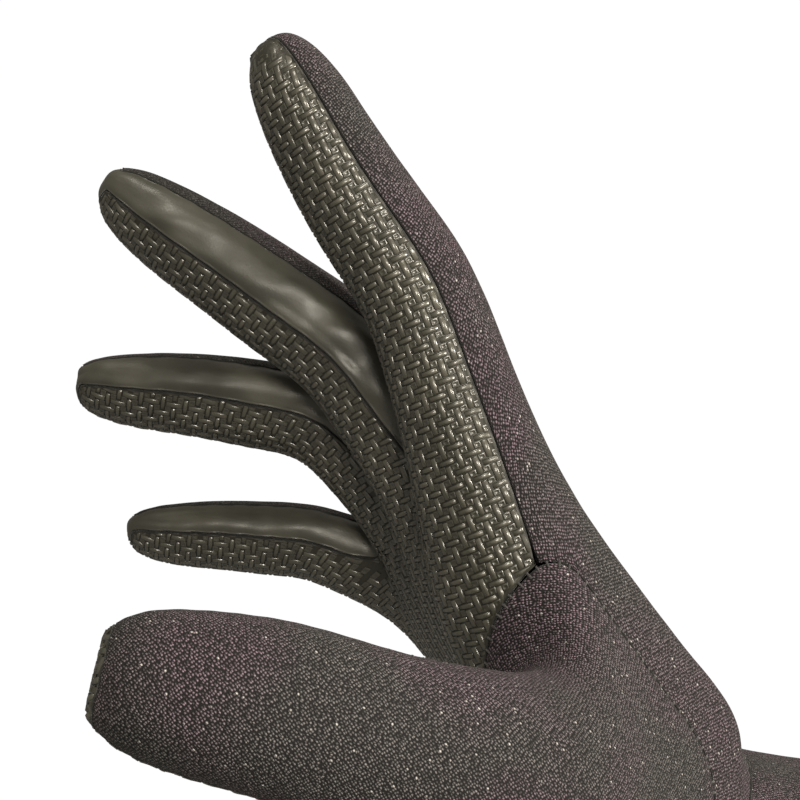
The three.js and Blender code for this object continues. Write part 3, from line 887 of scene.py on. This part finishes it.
grooves = groove_rubber()
bars = bar_rubber()
skin = smooth_rubber()
jersey = knit("purple_jersey", KNIT_DARK, KNIT_PALE, KNIT_GREY)
lining = plain_cloth("inner_jersey", (0.015, 0.015, 0.016, 1), (0.055, 0.053, 0.056, 1), 0.5, 0.12)
foam = plain_cloth("cut_foam", (0.004, 0.004, 0.004, 1), (0.009, 0.009, 0.008, 1), 0.4, 0.1)
binding = plain_cloth("cuff_tape", (0.010, 0.009, 0.010, 1), (0.035, 0.032, 0.034, 1), 0.45, 0.12)
thread = plain_cloth("sewing_thread", (0.010, 0.009, 0.009, 1), (0.045, 0.041, 0.042, 1), 0.2, 0.04)
print("materials:", [material.name for material in bpy.data.materials])

# %% [markdown]
# ## Palm and thumb grip
# These two carry the relief. The sheet itself lies a little lower between the seams, as the floor of the
# grooves, and rises to the seam's pressed edge, where it puckers.

# %% Build the embossed pieces
UP = Vector((0, 0, 1))
TOWARDS_THUMB_TIP = Vector((-1, 0, 0.1))
RUBBER_SWELL = (0.12, (16, 16, 16))  # its height and size in millimetres
RUBBER_SEAM = (0.1, 0.35, 4.6)  # roll, pucker and the puckers' pitch in millimetres
ONE_PART = [(Vector(), 0)]  # the grip isn't divided, so any place will do


def dress(piece, face):
    for material in (face, lining, foam):
        piece.data.materials.append(material)


def emboss(piece, name, spots):
    sheet = Sheet(piece)
    sheet.divide(spots)
    fade = smooth_step(*FLAT_BAND, sheet.edge)
    swell = RUBBER_SWELL[0] * sheet.grain(RUBBER_SWELL[1], 1)
    sheet.push(swell - GROOVE_DEPTH * fade - seam_pull(sheet, *RUBBER_SEAM))
    relief = lay_relief(name, sheet)
    relief.data.materials.append(bars)


ways = finger_ways()
palm = make_sheet("palm_rubber", "palm_panel", 3, UP, ways=ways)
grip = make_sheet("thumb_grip_rubber", "thumb_grip", 3, TOWARDS_THUMB_TIP)
for piece in (palm, grip):
    dress(piece, grooves)
emboss(palm, "palm_relief", [(spot, number) for spot, _, number in ways])
emboss(grip, "thumb_grip_relief", ONE_PART)

# %% [markdown]
# ## Side strips
# Each smooth strip runs from one fingertip down to the crotch and up the next finger. On the hand it
# bunches a little, so it has long soft folds beside the puckers at its seams.

# %% Build the strips
STRIP_NODES = ("side_strip_index_middle", "side_strip_middle_ring", "side_strip_ring_little")
LONG_FOLDS = (1.2, (26, 12, 9))  # height and size in millimetres
SHORT_FOLDS = (0.5, (11, 6, 5))
STRIP_SEAM = (0.2, 0.2, 6.5)  # roll, pucker and the puckers' pitch in millimetres
UNFOLDED = (0.3, 3.0)  # millimetres from the rim where the folds start and are full


def fold_strip(piece, seed):
    sheet = Sheet(piece)
    away = smooth_step(*UNFOLDED, sheet.edge)
    folds = LONG_FOLDS[0] * sheet.grain(LONG_FOLDS[1], seed)
    folds += SHORT_FOLDS[0] * sheet.grain(SHORT_FOLDS[1], seed + 5)
    sheet.push(folds * away - seam_pull(sheet, *STRIP_SEAM))


for number, node in enumerate(STRIP_NODES):
    strip = make_sheet(node.replace("side_strip", "smooth_strip"), node, 3, UP)
    dress(strip, skin)
    fold_strip(strip, number)

# %% [markdown]
# ## Knit pieces
# The back, the thumb and the cuff are knit. Foam under the knit keeps it full, and the seams draw it in.

# %% Build the knit pieces
FAR_SIDE = Vector((0, 1, 0))
ALONG_FOREARM = Vector((-0.96, 0, 0.28))
FOREFINGER_BASE = 0.075  # metres up; the forefinger is above it
FOREFINGER_SIDE = -0.005  # metres along Y; the forefinger is on the near side of it
KNIT_SWELL = (0.22, (18, 18, 18))  # height and size in millimetres
KNIT_LUMPS = (0.08, (6, 6, 6))
KNIT_SEAM = (0.1, 0.15, 5.4)  # roll, pucker and the puckers' pitch in millimetres
UNSWOLLEN = (0.0, 3.0)  # millimetres from the rim where the swell starts and is full


def on_forefinger(point):
    return point.z > FOREFINGER_BASE and point.y < FOREFINGER_SIDE


def soften(piece, seed):
    sheet = Sheet(piece)
    swell = KNIT_SWELL[0] * sheet.grain(KNIT_SWELL[1], seed)
    swell += KNIT_LUMPS[0] * sheet.grain(KNIT_LUMPS[1], seed + 3)
    away = smooth_step(*UNSWOLLEN, sheet.edge)
    sheet.push(swell * away - seam_pull(sheet, *KNIT_SEAM))


back = make_sheet("back_knit", "back_panel", 3, UP, part=on_forefinger)
thumb = make_sheet("thumb_knit", "thumb_panel", 3, TOWARDS_THUMB_TIP, hidden=FAR_SIDE)
cuff = make_sheet("cuff_knit", "cuff", 3, ALONG_FOREARM, hidden=FAR_SIDE)
for number, piece in enumerate((back, thumb, cuff)):
    dress(piece, jersey)
    soften(piece, number + 10)
hem = make_sheet("cuff_binding", "cuff_hem", 2, ALONG_FOREARM)
dress(hem, binding)

# %% [markdown]
# ## Stitches
# A thread runs along the seam between the thumb and the back. Each stitch crosses the seam as a small
# raised bar.

# %% Sew the thumb's seam
STITCH_EVERY = 1.9  # millimetres along the seam
STITCH_SHAPE = Matrix.Diagonal((0.34, 0.42, 0.55, 1))
SEWN_FROM = -0.12  # metres along X; nearer the thumb's tip the seam has no stitches
FLAT_INSIDE = 0.6  # millimetres from the rim where the sheet's own normals show its surface


def on_thumb_seam(place):
    return place[0] > SEWN_FROM and place[2] > 0


def sew(name, piece):
    """One joined mesh of stitches along the piece's rims."""
    sheet = Sheet(piece)
    inner = np.flatnonzero(sheet.outer & (sheet.edge > FLAT_INSIDE))
    tree = KDTree(len(inner))
    for index in inner:
        tree.insert(sheet.places[index], index)
    tree.balance()
    bm = bmesh.new()
    for loop in sheet.rim:
        due = 0
        for (index, length), (ahead, _) in zip(loop, loop[1:]):
            place = sheet.places[index]
            if length < due or not on_thumb_seam(place):
                continue
            due = length + STITCH_EVERY
            normal = Vector(sheet.normals[tree.find(place)[1]])
            along = Vector(sheet.places[ahead] - place).normalized()
            across = normal.cross(along).normalized()
            turned = Matrix((along, across, normal)).transposed().to_4x4()
            first = len(bm.verts)
            bm.from_mesh(upright)
            bm.verts.ensure_lookup_table()
            move = Matrix.Translation(place) @ turned @ STITCH_SHAPE @ Matrix.Scale(MM, 4)
            bmesh.ops.transform(bm, matrix=move, verts=bm.verts[first:])
    mesh = bpy.data.meshes.new(name)
    bm.to_mesh(mesh)
    bm.free()
    stitches = bpy.data.objects.new(name, mesh)
    bpy.context.collection.objects.link(stitches)
    mesh.materials.append(thread)
    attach(stitches, "root")
    print(name, "has", len(mesh.polygons), "faces")


sew("thumb_seam_stitches", thumb)

# %% [markdown]
# ## Floor and backdrop
# A white sheet of paper runs level under the glove and curves up behind it, so no horizon shows. It is
# lit evenly from within, for a plain white ground, and it throws no light back on the glove.

# %% Build the paper sweep
FLOOR_LEVEL = -0.16
SWEEP_WIDTH = 6
SWEEP_FRONT = -1.6
SWEEP_BACK = 0.9
SWEEP_RADIUS = 0.5
SWEEP_HEIGHT = 2.4
bm = bmesh.new()
start = bm.verts.new((-SWEEP_WIDTH / 2, SWEEP_FRONT, FLOOR_LEVEL))
bend = bm.verts.new((-SWEEP_WIDTH / 2, SWEEP_BACK, FLOOR_LEVEL))
bm.edges.new((start, bend))
turned = bmesh.ops.spin(
    bm,
    geom=[bend],
    cent=(0, SWEEP_BACK, FLOOR_LEVEL + SWEEP_RADIUS),
    axis=(1, 0, 0),
    angle=math.radians(90),
    steps=24,
    use_merge=False,
)
end = next(item for item in turned["geom_last"] if isinstance(item, bmesh.types.BMVert))
top = bmesh.ops.extrude_vert_indiv(bm, verts=[end])["verts"][0]
top.co.z = SWEEP_HEIGHT
wide = bmesh.ops.extrude_edge_only(bm, edges=bm.edges[:])
bmesh.ops.translate(
    bm,
    verts=[item for item in wide["geom"] if isinstance(item, bmesh.types.BMVert)],
    vec=(SWEEP_WIDTH, 0, 0),
)
bmesh.ops.recalc_face_normals(bm, faces=bm.faces)
for face in bm.faces:
    face.smooth = True
mesh = bpy.data.meshes.new("paper_sweep")
bm.to_mesh(mesh)
bm.free()
sweep = bpy.data.objects.new("paper_sweep", mesh)
bpy.context.collection.objects.link(sweep)
paper = Finish("paper")
white = (1, 1, 1, 1)
glow = {"Emission Color": white, "Emission Strength": 1.0}
mesh.materials.append(paper.finish(colour=(0, 0, 0, 1), roughness=1, **glow))
sweep.visible_diffuse = False
sweep.visible_glossy = False

# %% [markdown]
# ## Light
# The photograph's light is soft and comes from the front, a little from the right and above. A smaller
# lamp at the right catches the shoulders of the relief and leaves the finger's left side darker. Behind
# the glove it is dimmer, so its outlines don't glow. The camera sees the surroundings as white paper.

# %% Place the lights
CENTRE = Vector((-0.1, 0, 0.08))
WARM = (1.0, 0.93, 0.80)


def soft_light(name, place, size, power):
    light = bpy.data.lights.new(name, "AREA")
    light.shape = "DISK"
    light.size = size
    light.energy = power
    light.color = WARM
    lamp = bpy.data.objects.new(name, light)
    bpy.context.collection.objects.link(lamp)
    lamp.location = place
    lamp.rotation_euler = (CENTRE - Vector(place)).to_track_quat("-Z", "Y").to_euler()


soft_light("key", place=(0.78, -0.46, 0.34), size=0.2, power=16)
soft_light("top", place=(-0.25, -0.35, 0.95), size=0.3, power=4)
soft_light("front", place=(0.05, -1.0, 0.30), size=0.25, power=7)

FRONT = Vector((0.35, -0.85, 0.40)).normalized()
SKY = (0.26, 0.70)  # brightness behind the glove and in front of it
world = bpy.data.worlds.new("studio")
world.use_nodes = True
nodes = world.node_tree.nodes
links = world.node_tree.links
way = nodes.new("ShaderNodeTexCoord").outputs["Generated"]
frontal = nodes.new("ShaderNodeVectorMath")
frontal.operation = "DOT_PRODUCT"
frontal.inputs[1].default_value = FRONT
links.new(way, frontal.inputs[0])
graded = nodes.new("ShaderNodeMapRange")
for key, value in {"From Min": 0.0, "From Max": 1.0, "To Min": SKY[0], "To Max": SKY[1]}.items():
    graded.inputs[key].default_value = value
links.new(frontal.outputs["Value"], graded.inputs["Value"])
links.new(graded.outputs[0], nodes["Background"].inputs["Strength"])
nodes["Background"].inputs["Color"].default_value = (*WARM, 1)
seen = nodes.new("ShaderNodeBackground")
seen.inputs["Color"].default_value = white
either = nodes.new("ShaderNodeMixShader")
links.new(nodes.new("ShaderNodeLightPath").outputs["Is Camera Ray"], either.inputs[0])
links.new(nodes["Background"].outputs[0], either.inputs[1])
links.new(seen.outputs[0], either.inputs[2])
links.new(either.outputs[0], nodes["World Output"].inputs["Surface"])
bpy.context.scene.world = world
bpy.context.scene.view_settings.view_transform = "Standard"
